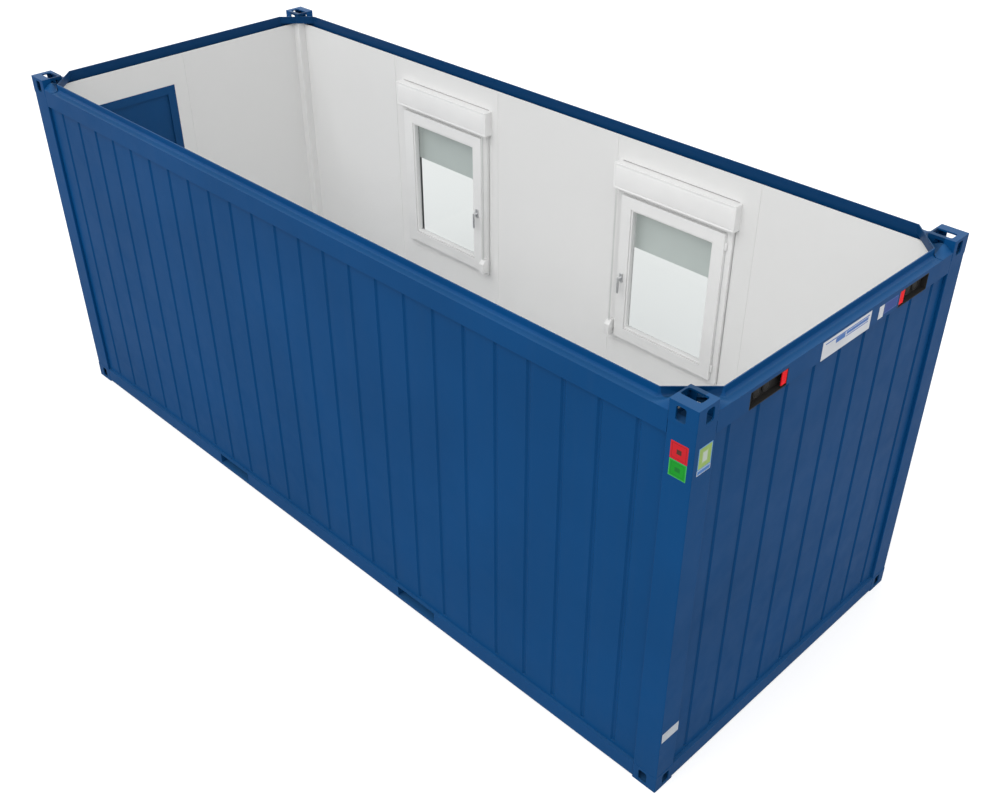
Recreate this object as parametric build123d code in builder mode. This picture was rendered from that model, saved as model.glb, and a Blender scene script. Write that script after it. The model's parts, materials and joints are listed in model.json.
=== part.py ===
from build123d import *
import os

# Office container of the 20 ft class, standing on its corner castings without its roof.
# X runs along the container, Y across it and Z up. The origin is the middle of the base.
# The front wall is at -Y, the windows at +Y, the door in the left end at -X.

# Overall size
LENGTH = 6055
WIDTH = 2435
HEIGHT = 2591

# Corner castings and posts
CASTING_LENGTH = 165
CASTING_WIDTH = 155
CASTING_HEIGHT = 118
CASTING_WALL = 8
CASTING_TOP = 10
CASTING_RADIUS = 5
TOP_SLOT_LENGTH = 118
TOP_SLOT_WIDTH = 68
TOP_SLOT_SHIFT_X = 13
TOP_SLOT_SHIFT_Y = 18
SIDE_SLOT_HEIGHT = 80
SIDE_SLOT_WIDTH = 58
SIDE_SLOT_SHIFT = 12
SLOT_RADIUS = 14
FRAME_SETBACK = 2
POST_WALL = 5

# Bottom rails and fork pockets
BOTTOM_RAIL_CLEARANCE = 12
BOTTOM_RAIL_HEIGHT = 106
BOTTOM_RAIL_WALL = 4
FORK_POCKET_WIDTH = 352
FORK_POCKET_HEIGHT = 78
FORK_POCKET_BOTTOM = 34
FORK_POCKET_OFFSET = 1027.5
FORK_POCKET_WALL = 4

# Top rails: box, flange and upstand, measured down from the top of the castings
TOP_RAIL_DROP = 70
TOP_RAIL_HEIGHT = 121
TOP_RAIL_WALL = 3
UPSTAND_INSET = 57
UPSTAND_THICKNESS = 6
UPSTAND_DROP = 18
UPSTAND_BEND = 20
GUTTER_CORNER_LEG = 207
GUTTER_PLATE = 3

# Walls, measured inwards from the outer faces of the frame
CLADDING_INSET = 20
PANEL_THICKNESS = 65.5
LINING_THICKNESS = 12
LINING_DROP = 91
PANEL_WIDTH = 1150
LONG_WALL_RIBS = 24
LONG_WALL_RIB_END = 171.5
END_WALL_RIBS = 9
END_WALL_RIB_END = 126.5
RIB_WIDTH = 34
RIB_FLOOR = 14
RIB_DEPTH = 9
RIB_FOOT = 22
RIB_HEAD = 15
COVER_THICKNESS = 6
JOINT_WIDTH = 45
JOINT_THICKNESS = 3

# Floor
FLOOR_HEIGHT = 160
COVERING_THICKNESS = 2
DECK_THICKNESS = 22
SHEET_THICKNESS = 2
SHEET_JOINT = 2
CROSS_MEMBER_COUNT = 9
CROSS_MEMBER_END = 105
CROSS_MEMBER_WIDTH = 50
CROSS_MEMBER_WALL = 4

# Door in the left end
DOOR_FRAME_WIDTH = 875
DOOR_CORNER_STRIP = 50.5
DOOR_HEADER_HEIGHT = 120
DOOR_JOINT_DISTANCE = 137
DOOR_FRAME_INSET = 46
DOOR_FRAME_PROUD = 2.5
DOOR_REBATE_FACE = 22
DOOR_STOP_FACE = 66
DOOR_SILL_HEIGHT = 20
LEAF_THICKNESS = 40
LEAF_GAP = 7
LEAF_STOP_GAP = 5
HINGE_COUNT = 3
HINGE_END_DISTANCE = 240
HINGE_AXIS_DISTANCE = 11
KNUCKLE_RADIUS = 9
KNUCKLE_LENGTH = 48
KNUCKLE_GAP = 2
HINGE_PIN_RADIUS = 5
HINGE_PIN_CLEARANCE = 0.5
HINGE_PIN_LENGTH = 40
HINGE_PLATE_WIDTH = 50
HINGE_PLATE = 3
HINGE_PLATE_MARGIN = 3
HANDLE_HEIGHT = 1050
HANDLE_BACKSET = 70
HANDLE_PLATE_LENGTH = 220
HANDLE_PLATE_WIDTH = 36
HANDLE_PLATE = 8
LEVER_RADIUS = 9
LEVER_REACH = 30
LEVER_LENGTH = 120

# Windows in the back wall
WINDOW_CENTRE = 1123
WINDOW_FRAME_WIDTH = 945
WINDOW_FRAME_HEIGHT = 1183
WINDOW_FIT = 5
SHUTTER_BOX_DROP = 165
SHUTTER_BOX_HEIGHT = 182
SHUTTER_BOX_WIDTH = 1000
SHUTTER_BOX_PROUD = 65
SHUTTER_BOX_INSET = 27.5
FRAME_PROUD = 23
FRAME_DEPTH = 70
FRAME_REBATE = 18
FRAME_LIP = 22
SASH_WIDTH = 860
SASH_FOOT = 33
SASH_HEAD = 36
SASH_PROUD = 25
SASH_DEPTH = 70
SASH_FACE = 85
SASH_FIT = 2
PANE_SETBACK = 47
PANE_REBATE = 12
PANE_FIT = 2
GUIDE_WIDTH = 30
GUIDE_DEPTH = 23
GUIDE_WALL = 3
GUIDE_SPACING = 770
CURTAIN_THICKNESS = 8
CURTAIN_DROP = 450
CURTAIN_FIT = 2
CURTAIN_GROOVE = 1.5
SLAT_HEIGHT = 37
CURTAIN_ENTRY = 60
SILL_THICKNESS = 3
SILL_NOSE = 25
SILL_INSET = 6
WINDOW_ROSE_LENGTH = 70
WINDOW_ROSE_WIDTH = 30
WINDOW_ROSE = 10
WINDOW_LEVER_REACH = 45
WINDOW_LEVER_LENGTH = 120
WINDOW_LEVER_WIDTH = 20
WINDOW_LEVER_THICKNESS = 14
WINDER_OFFSET = 465
WINDER_FOOT = 40
WINDER_HEIGHT = 115
WINDER_WIDTH = 45
WINDER_DEPTH = 70

# Recessed power inlets in the right end's top rail
INLET_WIDTH = 305
INLET_HEIGHT = 100
INLET_DEPTH = 50
INLET_WALL = 4
INLET_RECESS = 34
INLET_OFFSET = 662

# Heights and places worked out from the sizes above
casting_x = (LENGTH - CASTING_LENGTH) / 2
casting_y = (WIDTH - CASTING_WIDTH) / 2
half_length = LENGTH / 2 - FRAME_SETBACK
half_width = WIDTH / 2 - FRAME_SETBACK
post_length = CASTING_LENGTH - FRAME_SETBACK
post_width = CASTING_WIDTH - FRAME_SETBACK
half_span = half_length - post_length
half_cross = half_width - post_width
post_bottom = CASTING_HEIGHT
post_top = HEIGHT - CASTING_HEIGHT
bottom_rail_top = BOTTOM_RAIL_CLEARANCE + BOTTOM_RAIL_HEIGHT
top_rail_top = HEIGHT - TOP_RAIL_DROP
top_rail_bottom = top_rail_top - TOP_RAIL_HEIGHT
upstand_top = HEIGHT - UPSTAND_DROP
upstand_inner = UPSTAND_INSET + UPSTAND_THICKNESS
panel_inner = CLADDING_INSET + PANEL_THICKNESS
room_inset = panel_inner + LINING_THICKNESS
lining_top = HEIGHT - LINING_DROP
rail_depth = room_inset
covering_bottom = FLOOR_HEIGHT - COVERING_THICKNESS
deck_bottom = covering_bottom - DECK_THICKNESS
pocket_outer_bottom = FORK_POCKET_BOTTOM - FORK_POCKET_WALL
gutter_plate_bottom = top_rail_top - GUTTER_PLATE
door_frame_top = top_rail_bottom - DOOR_HEADER_HEIGHT
door_end = half_cross - DOOR_CORNER_STRIP
door_start = door_end - DOOR_FRAME_WIDTH
door_middle = (door_start + door_end) / 2
shutter_box_bottom = lining_top - SHUTTER_BOX_DROP - SHUTTER_BOX_HEIGHT
window_frame_bottom = shutter_box_bottom - WINDOW_FRAME_HEIGHT
sash_bottom = window_frame_bottom + SASH_FOOT
sash_top = shutter_box_bottom - SASH_HEAD
curtain_bottom = shutter_box_bottom - CURTAIN_DROP
winder_bottom = window_frame_bottom + WINDER_FOOT

CORNERS = [(-1, -1), (1, -1), (-1, 1), (1, 1)]
INWARDS = {
    "front": Vector(0, 1, 0),
    "back": Vector(0, -1, 0),
    "left": Vector(1, 0, 0),
    "right": Vector(-1, 0, 0),
}
UP = Vector(0, 0, 1)


def reach(side):
    """Distance from the origin to the frame's outer face on a side."""
    return half_width if side in ("front", "back") else half_length


def rail_half_length(side):
    """Half the length between the castings of a side."""
    return half_span if side in ("front", "back") else half_cross


def section_plane(side):
    """Plane across a wall: x runs inwards from the outer face, y up, the normal along the wall."""
    inwards = INWARDS[side]
    return Plane(origin=inwards * -reach(side), x_dir=inwards, z_dir=inwards.cross(UP))


def plan_plane(side, height):
    """Level plane at a wall: x runs along the wall, y inwards from the outer face."""
    inwards = INWARDS[side]
    origin = inwards * -reach(side) + UP * height
    return Plane(origin=origin, x_dir=inwards.cross(UP), z_dir=UP)


def face_plane(side, inset):
    """Upright plane of a wall at an inset: x runs along it, y up, the normal outwards."""
    inwards = INWARDS[side]
    origin = inwards * (inset - reach(side))
    return Plane(origin=origin, x_dir=inwards.cross(UP), z_dir=inwards * -1)


def save(part, name):
    part.label = name
    export_step(part, f"parts/{name}.step")


os.makedirs("parts", exist_ok=True)


# Corner castings of one end: thin boxes with a slot in the top, the base and every side
def corner_castings(x_side, bottom, name):
    middle = bottom + CASTING_HEIGHT / 2
    centres = [(x_side * casting_x, y_side * casting_y) for y_side in (-1, 1)]
    slot_x = x_side * (casting_x - TOP_SLOT_SHIFT_X)
    slot_y = casting_y - TOP_SLOT_SHIFT_Y
    side_slot_y = casting_y - SIDE_SLOT_SHIFT
    with BuildPart() as castings:
        with BuildSketch(Plane.XY.offset(bottom)):
            with Locations(*centres):
                RectangleRounded(CASTING_LENGTH, CASTING_WIDTH, CASTING_RADIUS)
        extrude(amount=CASTING_HEIGHT)
        with BuildSketch(Plane.XY.offset(bottom + CASTING_TOP)):
            with Locations(*centres):
                Rectangle(CASTING_LENGTH - 2 * CASTING_WALL, CASTING_WIDTH - 2 * CASTING_WALL)
        extrude(amount=CASTING_HEIGHT - 2 * CASTING_TOP, mode=Mode.SUBTRACT)
        with BuildSketch(Plane.XY.offset(bottom)):
            with Locations((slot_x, -slot_y), (slot_x, slot_y)):
                RectangleRounded(TOP_SLOT_LENGTH, TOP_SLOT_WIDTH, SLOT_RADIUS)
        extrude(amount=CASTING_HEIGHT, mode=Mode.SUBTRACT)
        with BuildSketch(Plane.XZ):
            with Locations((x_side * (casting_x - SIDE_SLOT_SHIFT), middle)):
                RectangleRounded(SIDE_SLOT_WIDTH, SIDE_SLOT_HEIGHT, SLOT_RADIUS)
        extrude(amount=WIDTH / 2, both=True, mode=Mode.SUBTRACT)
        with BuildSketch(Plane.YZ):
            with Locations((-side_slot_y, middle), (side_slot_y, middle)):
                RectangleRounded(SIDE_SLOT_WIDTH, SIDE_SLOT_HEIGHT, SLOT_RADIUS)
        extrude(amount=LENGTH / 2, both=True, mode=Mode.SUBTRACT)
    save(castings.part, name)


for x_side, end in ((-1, "left"), (1, "right")):
    corner_castings(x_side, 0, f"bottom_castings_{end}")
    corner_castings(x_side, post_top, f"top_castings_{end}")

# Corner posts: rectangular tubes, set back a little inside the castings' outer faces
with BuildPart() as corner_posts:
    post_x = half_length - post_length / 2
    post_y = half_width - post_width / 2
    with BuildSketch(Plane.XY.offset(post_bottom)):
        with Locations(*[(x * post_x, y * post_y) for x, y in CORNERS]):
            RectangleRounded(post_length, post_width, CASTING_RADIUS)
            Rectangle(post_length - 2 * POST_WALL, post_width - 2 * POST_WALL, mode=Mode.SUBTRACT)
    extrude(amount=post_top - post_bottom)
save(corner_posts.part, "corner_posts")


# Bottom rails: box sections between the castings, the long ones cut for the fork pockets
def bottom_rails(sides, name):
    with BuildPart() as rails:
        for side in sides:
            with BuildSketch(section_plane(side)):
                with Locations((rail_depth / 2, BOTTOM_RAIL_CLEARANCE + BOTTOM_RAIL_HEIGHT / 2)):
                    Rectangle(rail_depth, BOTTOM_RAIL_HEIGHT)
                    Rectangle(
                        rail_depth - 2 * BOTTOM_RAIL_WALL,
                        BOTTOM_RAIL_HEIGHT - 2 * BOTTOM_RAIL_WALL,
                        mode=Mode.SUBTRACT,
                    )
            extrude(amount=rail_half_length(side), both=True)
        with BuildSketch(Plane.XZ):
            fork_pocket_outline(FORK_POCKET_WALL)
        extrude(amount=half_width, both=True, mode=Mode.SUBTRACT)
    save(rails.part, name)


def fork_pocket_outline(wall):
    middle = FORK_POCKET_BOTTOM + FORK_POCKET_HEIGHT / 2
    with Locations((-FORK_POCKET_OFFSET, middle), (FORK_POCKET_OFFSET, middle)):
        Rectangle(FORK_POCKET_WIDTH + 2 * wall, FORK_POCKET_HEIGHT + 2 * wall)


bottom_rails(("front", "back"), "bottom_side_rails")
bottom_rails(("left", "right"), "bottom_end_rails")

with BuildPart() as fork_pockets:
    with BuildSketch(Plane.XZ):
        fork_pocket_outline(FORK_POCKET_WALL)
    extrude(amount=half_width, both=True)
    with BuildSketch(Plane.XZ):
        fork_pocket_outline(0)
    extrude(amount=half_width, both=True, mode=Mode.SUBTRACT)
save(fork_pockets.part, "fork_pockets")


# Top rails: box with a flange and an upstand, which ends in a mitre at each gutter corner
def gutter_line(inset):
    """Corner points, in the +X +Y quarter, of the upstand's plan at an inset."""
    leg = GUTTER_CORNER_LEG - (inset - UPSTAND_INSET) * (2 - 2**0.5)
    x = half_length - inset
    y = half_width - inset
    return (x - leg, y), (x, y - leg)


def upstand_lines(offset, foot, outer_points):
    """Bend and upstand, then down to the foot and back to the bend by the outer points."""
    bend_start = (offset - UPSTAND_BEND, top_rail_top)
    bend_end = (offset, top_rail_top + UPSTAND_BEND)
    crest = offset + UPSTAND_THICKNESS
    RadiusArc(bend_start, bend_end, -UPSTAND_BEND)
    Polyline(bend_end, (offset, upstand_top), (crest, upstand_top), (crest, foot))
    Polyline((crest, foot), *outer_points, bend_start)


def beyond_mitre(side):
    """Plan outline of what lies past a rail's mitres, at both of its ends."""
    outer = gutter_line(UPSTAND_INSET - UPSTAND_BEND)
    inner = gutter_line(upstand_inner)
    if side in ("front", "back"):
        near, far = outer[0][0], inner[0][0]
        limit = half_span
    else:
        near, far = outer[1][1], inner[1][1]
        limit = half_cross
    for end in (-1, 1):
        Polygon(
            (end * near, UPSTAND_INSET - UPSTAND_BEND),
            (end * far, upstand_inner),
            (end * limit, upstand_inner),
            (end * limit, UPSTAND_INSET - UPSTAND_BEND),
            align=None,
        )


def top_rail(side):
    with BuildPart() as rail:
        with BuildSketch(section_plane(side)):
            with BuildLine():
                outer_points = [(0, top_rail_bottom), (0, top_rail_top)]
                upstand_lines(UPSTAND_INSET, top_rail_bottom, outer_points)
            make_face()
            with Locations((upstand_inner / 2, (top_rail_bottom + top_rail_top) / 2)):
                Rectangle(
                    upstand_inner - 2 * TOP_RAIL_WALL,
                    TOP_RAIL_HEIGHT - 2 * TOP_RAIL_WALL,
                    mode=Mode.SUBTRACT,
                )
        extrude(amount=rail_half_length(side), both=True)
        with BuildSketch(plan_plane(side, top_rail_top)):
            beyond_mitre(side)
        extrude(amount=HEIGHT - top_rail_top, mode=Mode.SUBTRACT)
        if side == "right":
            with BuildSketch(face_plane(side, 0)):
                inlet_outline()
            extrude(amount=-INLET_DEPTH, mode=Mode.SUBTRACT)
    save(rail.part, f"top_rail_{side}")


def inlet_outline():
    with Locations(*[(end * INLET_OFFSET, top_rail_bottom + INLET_HEIGHT / 2) for end in (-1, 1)]):
        Rectangle(INLET_WIDTH, INLET_HEIGHT)


for side in INWARDS:
    top_rail(side)


# Gutter corners: plate beside the casting and the upstand across the corner
def gutter_corner(x_side, y_side):
    corner_start, corner_end = gutter_line(UPSTAND_INSET)
    inner_start, inner_end = gutter_line(upstand_inner)
    outer_start, outer_end = gutter_line(UPSTAND_INSET - UPSTAND_BEND)
    middle = ((corner_start[0] + corner_end[0]) / 2, (corner_start[1] + corner_end[1]) / 2)
    across = Plane(
        origin=(middle[0], middle[1], 0),
        x_dir=(-1, -1, 0),
        z_dir=(-1, 1, 0),
    )
    rail_x = half_length - upstand_inner
    rail_y = half_width - upstand_inner
    with BuildPart() as upstand:
        with BuildSketch(across):
            with BuildLine():
                upstand_lines(0, top_rail_top, [])
            make_face()
        extrude(amount=GUTTER_CORNER_LEG, both=True)
        with BuildSketch(Plane.XY.offset(top_rail_top)):
            Polygon(outer_start, inner_start, inner_end, outer_end, align=None)
        extrude(amount=HEIGHT - top_rail_top, mode=Mode.INTERSECT)
        with BuildSketch(Plane.XY.offset(gutter_plate_bottom)):
            Polygon(
                (inner_start[0], rail_y),
                (rail_x, rail_y),
                (rail_x, inner_end[1]),
                align=None,
            )
        extrude(amount=GUTTER_PLATE)
        with Locations((half_length, half_width, HEIGHT)):
            Box(
                2 * post_length,
                2 * post_width,
                2 * CASTING_HEIGHT,
                mode=Mode.SUBTRACT,
            )
    corner = upstand.part
    if x_side < 0:
        corner = corner.mirror(Plane.YZ)
    if y_side < 0:
        corner = corner.mirror(Plane.XZ)
    return corner


with BuildPart() as gutter_corners:
    for corner in CORNERS:
        add(gutter_corner(*corner))
save(gutter_corners.part, "gutter_corners")


# Floor: cross members on the bottom sheet, deck and covering between the walls
def room_plan(inset_x, inset_y, notch_x, notch_y):
    """Floor outline between the walls, notched at the four corners."""
    Rectangle(2 * (half_length - inset_x), 2 * (half_width - inset_y))
    with Locations(*[(x * half_length, y * half_width) for x, y in CORNERS]):
        Rectangle(2 * notch_x, 2 * notch_y, mode=Mode.SUBTRACT)


# One sheet between the long rails, and a strip between the castings at each end
end_strip = half_length - room_inset - half_span
with BuildPart() as under_floor_sheet:
    with BuildSketch(Plane.XY.offset(pocket_outer_bottom - SHEET_THICKNESS)):
        Rectangle(2 * (half_span - SHEET_JOINT), 2 * (half_width - room_inset))
        strip_x = half_span + end_strip / 2
        with Locations((-strip_x, 0), (strip_x, 0)):
            Rectangle(end_strip, 2 * half_cross)
    extrude(amount=SHEET_THICKNESS)
save(under_floor_sheet.part, "under_floor_sheet")

cross_member_span = 2 * (half_length - room_inset - CROSS_MEMBER_END) - CROSS_MEMBER_WIDTH
cross_member_pitch = cross_member_span / (CROSS_MEMBER_COUNT - 1)
with BuildPart() as cross_members:
    with BuildSketch(Plane.XZ):
        with GridLocations(cross_member_pitch, 1, CROSS_MEMBER_COUNT, 1):
            with Locations((0, (pocket_outer_bottom + deck_bottom) / 2)):
                Rectangle(CROSS_MEMBER_WIDTH, deck_bottom - pocket_outer_bottom)
                with Locations((CROSS_MEMBER_WALL, 0)):
                    Rectangle(
                        CROSS_MEMBER_WIDTH,
                        deck_bottom - pocket_outer_bottom - 2 * CROSS_MEMBER_WALL,
                        mode=Mode.SUBTRACT,
                    )
    extrude(amount=half_width - room_inset, both=True)
save(cross_members.part, "floor_cross_members")

cover_notch_x = post_length + COVER_THICKNESS
cover_notch_y = post_width + COVER_THICKNESS
with BuildPart() as floor_deck:
    with BuildSketch(Plane.XY.offset(deck_bottom)):
        room_plan(room_inset, room_inset, cover_notch_x, cover_notch_y)
    extrude(amount=DECK_THICKNESS)
save(floor_deck.part, "floor_deck")

with BuildPart() as floor_covering:
    with BuildSketch(Plane.XY.offset(covering_bottom)):
        room_plan(room_inset, room_inset, cover_notch_x, cover_notch_y)
    extrude(amount=COVERING_THICKNESS)
save(floor_covering.part, "floor_covering")

# Wall panels: flat sheets with narrow upright grooves, backed by their insulation
window_opening_width = WINDOW_FRAME_WIDTH + 2 * WINDOW_FIT
window_opening_bottom = window_frame_bottom - WINDOW_FIT
window_opening_top = shutter_box_bottom + SHUTTER_BOX_HEIGHT + WINDOW_FIT
window_opening_middle = (window_opening_bottom + window_opening_top) / 2
window_opening_height = window_opening_top - window_opening_bottom


def window_openings():
    """Cuts both window openings through the back wall."""
    across = [(end * WINDOW_CENTRE, half_width, window_opening_middle) for end in (-1, 1)]
    with Locations(*across):
        Box(window_opening_width, 2 * rail_depth, window_opening_height, mode=Mode.SUBTRACT)


def wall_panels(name, side, spans, bottom=bottom_rail_top, has_windows=False):
    """Panels over the spans (start, end) along a wall, with the wall's grooves in them."""
    ribs, rib_end = END_WALL_RIBS, END_WALL_RIB_END
    if side in ("front", "back"):
        ribs, rib_end = LONG_WALL_RIBS, LONG_WALL_RIB_END
    pitch = 2 * (rail_half_length(side) - rib_end) / (ribs - 1)
    rib_bottom = bottom_rail_top + RIB_FOOT
    centres = [(number - (ribs - 1) / 2) * pitch for number in range(ribs)]
    crossed = set()
    with BuildPart() as panels:
        with BuildSketch(plan_plane(side, bottom)):
            for start, end in spans:
                with Locations(((start + end) / 2, CLADDING_INSET + PANEL_THICKNESS / 2)):
                    Rectangle(end - start, PANEL_THICKNESS)
                margin = RIB_WIDTH / 2
                crossed.update(c for c in centres if start - margin < c < end + margin)
        extrude(amount=top_rail_bottom - bottom)
        if crossed:
            with BuildSketch(plan_plane(side, rib_bottom)):
                with Locations(*[(centre, CLADDING_INSET) for centre in sorted(crossed)]):
                    Polygon(
                        (-RIB_WIDTH / 2, 0),
                        (RIB_WIDTH / 2, 0),
                        (RIB_FLOOR / 2, RIB_DEPTH),
                        (-RIB_FLOOR / 2, RIB_DEPTH),
                        align=None,
                    )
            extrude(amount=top_rail_bottom - RIB_HEAD - rib_bottom, mode=Mode.SUBTRACT)
        if has_windows:
            window_openings()
    save(panels.part, name)


inner_joint = 0.5 * PANEL_WIDTH
outer_joint = 1.5 * PANEL_WIDTH
plain_spans = [(-half_span, -outer_joint), (-inner_joint, inner_joint), (outer_joint, half_span)]
window_spans = [(-outer_joint, -inner_joint), (inner_joint, outer_joint)]
wall_panels("front_wall_panel", "front", [(-half_span, half_span)])
wall_panels("right_wall_panel", "right", [(-half_cross, half_cross)])
wall_panels("back_wall_panels", "back", plain_spans)
wall_panels("window_panels", "back", window_spans, has_windows=True)
wall_panels("left_wall_panel", "left", [(-half_cross, door_start)])
wall_panels("left_wall_corner_strip", "left", [(door_end, half_cross)])
wall_panels("left_wall_header", "left", [(door_start, door_end)], bottom=door_frame_top)


# Linings: coated boards inside, with the post covers in the corners and strips over the joints
def lining(side):
    cover = cover_notch_x if side in ("front", "back") else cover_notch_y
    half = (half_length if side in ("front", "back") else half_width) - cover
    with BuildPart() as board:
        with BuildSketch(plan_plane(side, bottom_rail_top)):
            with Locations((0, panel_inner + LINING_THICKNESS / 2)):
                Rectangle(2 * half, LINING_THICKNESS)
        extrude(amount=lining_top - bottom_rail_top)
        if side == "back":
            window_openings()
        if side == "left":
            with BuildSketch(face_plane(side, 0)):
                with Locations((door_middle, (bottom_rail_top + door_frame_top) / 2)):
                    Rectangle(DOOR_FRAME_WIDTH, door_frame_top - bottom_rail_top)
            extrude(amount=-room_inset, mode=Mode.SUBTRACT)
    save(board.part, f"lining_{side}")


for side in INWARDS:
    lining(side)

with BuildPart() as corner_covers:
    with BuildSketch(Plane.XY.offset(FLOOR_HEIGHT)):
        for x_side, y_side in CORNERS:
            with Locations((x_side * half_length, y_side * half_width)):
                Rectangle(2 * cover_notch_x, 2 * cover_notch_y)
        with Locations(*[(x * half_length, y * half_width) for x, y in CORNERS]):
            Rectangle(2 * post_length, 2 * post_width, mode=Mode.SUBTRACT)
        Rectangle(
            2 * (half_length - room_inset),
            2 * (half_width - room_inset),
            mode=Mode.INTERSECT,
        )
    extrude(amount=gutter_plate_bottom - FLOOR_HEIGHT)
save(corner_covers.part, "corner_covers")


joints = {
    "front": [-outer_joint, -inner_joint, inner_joint, outer_joint],
    "back": [-outer_joint, -inner_joint, inner_joint, outer_joint],
    "left": [door_start - DOOR_JOINT_DISTANCE],
    "right": [0],
}
with BuildPart() as joint_covers:
    for side, centres in joints.items():
        with BuildSketch(plan_plane(side, FLOOR_HEIGHT)):
            with Locations(*[(c, room_inset + JOINT_THICKNESS / 2) for c in centres]):
                Rectangle(JOINT_WIDTH, JOINT_THICKNESS)
        extrude(amount=lining_top - FLOOR_HEIGHT)
save(joint_covers.part, "lining_joint_covers")

# Door frame: rebate for the leaf on the outside, stop on the room side
frame_back = room_inset + DOOR_FRAME_PROUD
leaf_inset = DOOR_FRAME_INSET
stop_inset = leaf_inset + LEAF_THICKNESS + LEAF_STOP_GAP
rebate_top = door_frame_top - DOOR_REBATE_FACE
stop_top = door_frame_top - DOOR_STOP_FACE
stop_bottom = FLOOR_HEIGHT + DOOR_SILL_HEIGHT


def door_sketch(width, bottom, top):
    with Locations((door_middle, (bottom + top) / 2)):
        Rectangle(width, top - bottom)


with BuildPart() as door_frame:
    with BuildSketch(face_plane("left", DOOR_FRAME_INSET)):
        door_sketch(DOOR_FRAME_WIDTH, bottom_rail_top, door_frame_top)
    extrude(amount=DOOR_FRAME_INSET - room_inset)
    with BuildSketch(face_plane("left", room_inset)):
        door_sketch(DOOR_FRAME_WIDTH, FLOOR_HEIGHT, door_frame_top)
    extrude(amount=-DOOR_FRAME_PROUD)
    with BuildSketch(face_plane("left", DOOR_FRAME_INSET)):
        door_sketch(DOOR_FRAME_WIDTH - 2 * DOOR_REBATE_FACE, FLOOR_HEIGHT, rebate_top)
    extrude(amount=DOOR_FRAME_INSET - stop_inset, mode=Mode.SUBTRACT)
    with BuildSketch(face_plane("left", DOOR_FRAME_INSET)):
        door_sketch(DOOR_FRAME_WIDTH - 2 * DOOR_STOP_FACE, stop_bottom, stop_top)
    extrude(amount=DOOR_FRAME_INSET - frame_back, mode=Mode.SUBTRACT)
save(door_frame.part, "door_frame")

leaf_width = DOOR_FRAME_WIDTH - 2 * DOOR_REBATE_FACE - 2 * LEAF_GAP
leaf_bottom = FLOOR_HEIGHT + LEAF_GAP
leaf_top = rebate_top - LEAF_GAP
with BuildPart() as door_leaf:
    with BuildSketch(face_plane("left", leaf_inset)):
        door_sketch(leaf_width, leaf_bottom, leaf_top)
    extrude(amount=-LEAF_THICKNESS)
save(door_leaf.part, "door_leaf")

# Door hinges on the side of the near corner: pins on the frame, knuckles on the leaf
hinge_inset = leaf_inset - HINGE_AXIS_DISTANCE
hinge_across = door_end - DOOR_REBATE_FACE - LEAF_GAP / 2
hinge_pitch = (leaf_top - leaf_bottom - 2 * HINGE_END_DISTANCE) / (HINGE_COUNT - 1)
hinge_heights = [leaf_bottom + HINGE_END_DISTANCE + n * hinge_pitch for n in range(HINGE_COUNT)]
plate_face = leaf_inset - HINGE_PLATE / 2


def hinge_plate(bottom, towards, width):
    """Flat plate from the knuckle over the frame (towards=1) or the leaf (towards=-1)."""
    across = hinge_across + towards * width / 2
    with Locations((plate_face - half_length, -across, bottom + KNUCKLE_LENGTH / 2)):
        Box(HINGE_PLATE, width, KNUCKLE_LENGTH)


def hinge_barrel(bottom, radius, height, mode=Mode.ADD):
    with Locations((hinge_inset - half_length, -hinge_across, bottom + height / 2)):
        Cylinder(radius, height, mode=mode)


with BuildPart() as hinge_pins:
    for height in hinge_heights:
        lower = height - KNUCKLE_LENGTH - KNUCKLE_GAP / 2
        hinge_barrel(lower, KNUCKLE_RADIUS, KNUCKLE_LENGTH)
        hinge_plate(lower, 1, LEAF_GAP / 2 + DOOR_REBATE_FACE - HINGE_PLATE_MARGIN)
        hinge_barrel(lower, HINGE_PIN_RADIUS, KNUCKLE_LENGTH + KNUCKLE_GAP + HINGE_PIN_LENGTH)
save(hinge_pins.part, "door_hinge_pins")

with BuildPart() as hinge_knuckles:
    for height in hinge_heights:
        upper = height + KNUCKLE_GAP / 2
        hinge_barrel(upper, KNUCKLE_RADIUS, KNUCKLE_LENGTH)
        hinge_plate(upper, -1, LEAF_GAP / 2 + HINGE_PLATE_WIDTH)
        bore_depth = HINGE_PIN_LENGTH + HINGE_PIN_CLEARANCE
        bore_radius = HINGE_PIN_RADIUS + HINGE_PIN_CLEARANCE
        hinge_barrel(upper, bore_radius, bore_depth, mode=Mode.SUBTRACT)
save(hinge_knuckles.part, "door_hinge_knuckles")

# Door handle: plates and levers on both faces of the leaf, the levers pointing at the hinges
handle_across = door_middle - leaf_width / 2 + HANDLE_BACKSET


with BuildPart() as door_handle:
    for face_inset, outwards in ((leaf_inset, 1), (leaf_inset + LEAF_THICKNESS, -1)):
        with BuildSketch(face_plane("left", face_inset)):
            with Locations((handle_across, HANDLE_HEIGHT)):
                RectangleRounded(HANDLE_PLATE_WIDTH, HANDLE_PLATE_LENGTH, HANDLE_PLATE_WIDTH / 4)
        extrude(amount=outwards * HANDLE_PLATE)
        with BuildSketch(face_plane("left", face_inset)):
            with Locations((handle_across, HANDLE_HEIGHT)):
                Circle(LEVER_RADIUS)
        extrude(amount=outwards * LEVER_REACH)
        lever_inset = face_inset - outwards * (LEVER_REACH - LEVER_RADIUS)
        lever_start = (lever_inset - half_length, LEVER_RADIUS - handle_across, HANDLE_HEIGHT)
        with BuildSketch(Plane(origin=lever_start, z_dir=(0, -1, 0))):
            Circle(LEVER_RADIUS)
        extrude(amount=LEVER_LENGTH)
save(door_handle.part, "door_handle")

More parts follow.
